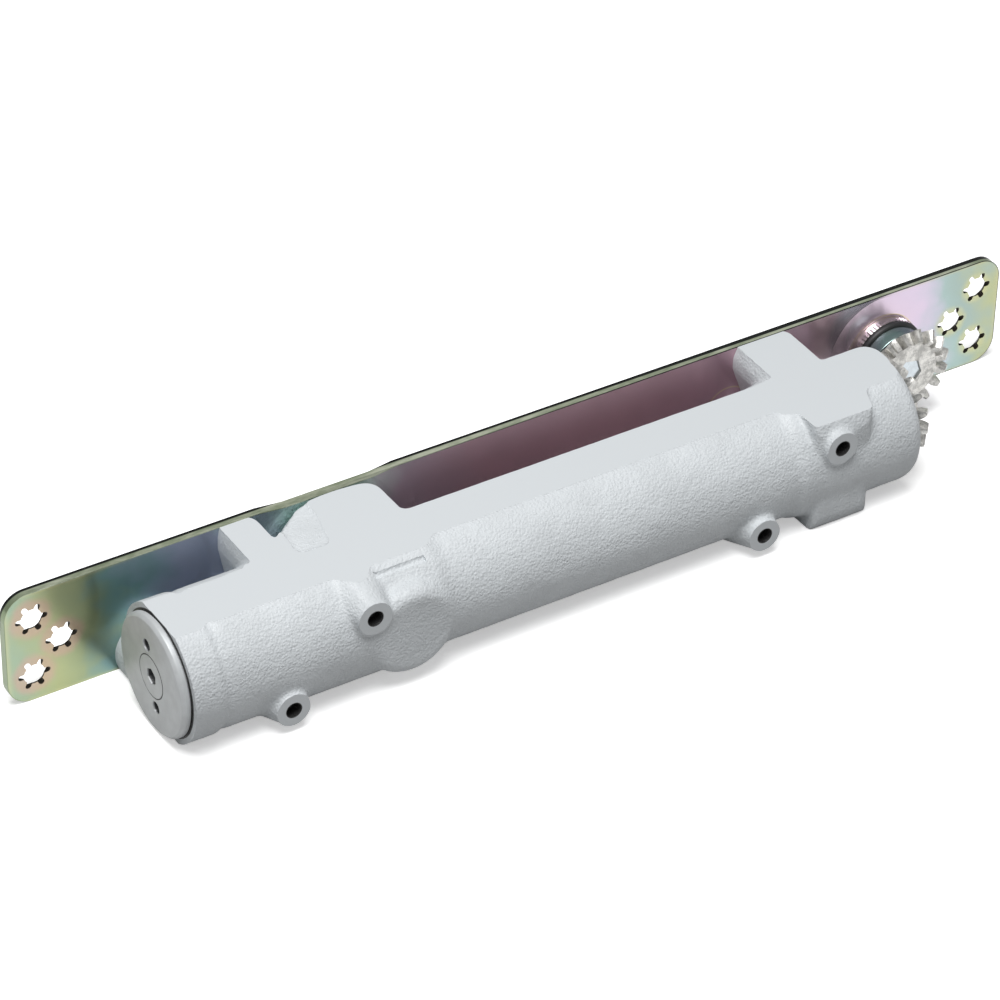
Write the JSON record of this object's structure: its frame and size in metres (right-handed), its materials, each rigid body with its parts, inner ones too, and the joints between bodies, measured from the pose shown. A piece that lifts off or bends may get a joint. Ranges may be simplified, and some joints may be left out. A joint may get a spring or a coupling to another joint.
{
  "type": "concealed door closer",
  "caption": "Cam-action hydraulic door closer: cast grey body with spring, pistons and heart cam, behind a slim steel faceplate with a mitre-gear spring adjuster.",
  "frame": {"origin": "middle of the faceplate's outer face", "axes": "+X along the faceplate towards the bevel gears, +Y out of the door through the faceplate, +Z across the door's thickness"},
  "size_m": [0.291, 0.0448, 0.032],
  "materials": {
    "faceplate": "smooth steel with iridescent yellow-green and purple zinc passivation",
    "zinc_screws": "yellow zinc plated steel",
    "casting": "light grey paint over rough sand-cast iron, smooth on the machined flats",
    "turned_steel": "turned grey steel",
    "bearing_steel": "ground bearing steel",
    "hardened_steel": "hardened and ground steel",
    "spring_steel": "dark oil-tempered spring steel",
    "bronze": "sintered bronze",
    "brass": "turned brass",
    "sintered_steel": "mottled grey sintered steel",
    "zinc_bush": "pinkish zinc passivated steel",
    "zinc_shaft": "pale blue zinc plated steel",
    "seal_rubber": "black nitrile rubber"
  },
  "bodies": {
    "closer": {"mounting_plate": "faceplate", "plate_screws": "zinc_screws", "housing": "casting", "channel_plugs": "bearing_steel", "end_cap": "turned_steel", "cap_center_plug": "turned_steel", "cap_seal_ring": "seal_rubber", "bearing_carrier": "turned_steel", "upper_bearing_race": "bearing_steel", "lower_bearing_race": "bearing_steel", "spindle_seal": "seal_rubber", "closing_spring": "spring_steel", "return_spring": "spring_steel", "thrust_washer": "bronze", "adjuster_bush": "zinc_bush", "adjuster_seal": "seal_rubber", "adjuster_washer": "turned_steel", "valve_seals": "seal_rubber"},
    "spindle": {"cam_spindle": "hardened_steel"},
    "upper_needle_set": {"upper_needles": "bearing_steel"},
    "lower_needle_set": {"lower_needles": "bearing_steel"},
    "spring_piston_set": {"spring_piston": "hardened_steel", "spring_roller_pin": "bearing_steel", "spring_piston_seal": "seal_rubber", "spring_check_ball": "bearing_steel"},
    "spring_side_roller": {"spring_roller": "bearing_steel"},
    "damping_piston_set": {"damping_piston": "hardened_steel", "damping_roller_pin": "bearing_steel", "damping_piston_seal": "seal_rubber", "damping_check_ball": "bearing_steel"},
    "damping_side_roller": {"damping_roller": "bearing_steel"},
    "nut": {"spring_nut": "hardened_steel"},
    "screw": {"adjusting_screw": "turned_steel", "spring_gear": "sintered_steel", "gear_retaining_ring": "spring_steel", "screw_seal": "seal_rubber"},
    "adjuster": {"adjuster_shaft": "zinc_shaft", "adjuster_gear": "sintered_steel"},
    "closing_speed_valve": {"closing_valve": "brass"},
    "latching_speed_valve": {"latching_valve": "brass"},
    "backcheck_regulator": {"backcheck_valve": "brass"}
  },
  "joints": [
    {"name": "spindle_turn", "type": "hinge", "parent": "closer", "child": "spindle", "pos_m": [-0.0575, -0.0267, 0], "axis": [0, 1, 0], "range_deg": [0, 120]},
    {"name": "upper_needles_turn", "type": "hinge", "parent": "closer", "child": "upper_needle_set", "pos_m": [-0.0575, -0.011, 0], "axis": [0, 1, 0], "range_deg": [0, 60]},
    {"name": "lower_needles_turn", "type": "hinge", "parent": "closer", "child": "lower_needle_set", "pos_m": [-0.0575, -0.04, 0], "axis": [0, 1, 0], "range_deg": [0, 60]},
    {"name": "spring_piston_slide", "type": "slide", "parent": "closer", "child": "spring_piston_set", "axis": [1, 0, 0], "range_m": [0, 0.005], "deforming": ["closing_spring"]},
    {"name": "spring_roller_turn", "type": "hinge", "parent": "spring_piston_set", "child": "spring_side_roller", "pos_m": [-0.0465, -0.0267, 0], "axis": [0, 1, 0], "continuous": true},
    {"name": "damping_piston_slide", "type": "slide", "parent": "closer", "child": "damping_piston_set", "axis": [1, 0, 0], "range_m": [0, 0.00505], "deforming": ["return_spring"]},
    {"name": "damping_roller_turn", "type": "hinge", "parent": "damping_piston_set", "child": "damping_side_roller", "pos_m": [-0.076, -0.0267, 0], "axis": [0, 1, 0], "continuous": true},
    {"name": "adjuster_turn", "type": "hinge", "parent": "closer", "child": "adjuster", "pos_m": [0.1075, -0.008, 0], "axis": [0, 1, 0], "range_deg": [0, 2160]},
    {"name": "screw_turn", "type": "hinge", "parent": "closer", "child": "screw", "pos_m": [0.085, -0.0267, 0], "axis": [1, 0, 0], "range_deg": [0, 2160]},
    {"name": "nut_slide", "type": "slide", "parent": "closer", "child": "nut", "axis": [-1, 0, 0], "range_m": [0, 0.0121], "deforming": ["closing_spring"]},
    {"name": "closing_valve_turn", "type": "hinge", "parent": "closer", "child": "closing_speed_valve", "pos_m": [-0.0835, -0.008, 0.0093], "axis": [0, 1, 0], "range_deg": [-180, 180]},
    {"name": "latching_valve_turn", "type": "hinge", "parent": "closer", "child": "latching_speed_valve", "pos_m": [-0.0835, -0.008, -0.0093], "axis": [0, 1, 0], "range_deg": [-180, 180]},
    {"name": "backcheck_valve_turn", "type": "hinge", "parent": "closer", "child": "backcheck_regulator", "pos_m": [0.07005, -0.008, 0], "axis": [0, 1, 0], "range_deg": [-180, 180]}
  ],
  "couplings": [
    {"joint": "spindle_turn", "follows": "spring_piston_slide", "rad_per_m": 418.88},
    {"joint": "damping_piston_slide", "follows": "spring_piston_slide", "ratio": 1},
    {"joint": "upper_needles_turn", "follows": "spring_piston_slide", "rad_per_m": 175.21},
    {"joint": "lower_needles_turn", "follows": "spring_piston_slide", "rad_per_m": 170.74},
    {"joint": "screw_turn", "follows": "adjuster_turn", "ratio": 1},
    {"joint": "nut_slide", "follows": "adjuster_turn", "m_per_rad": 0.00031831}
  ]
}
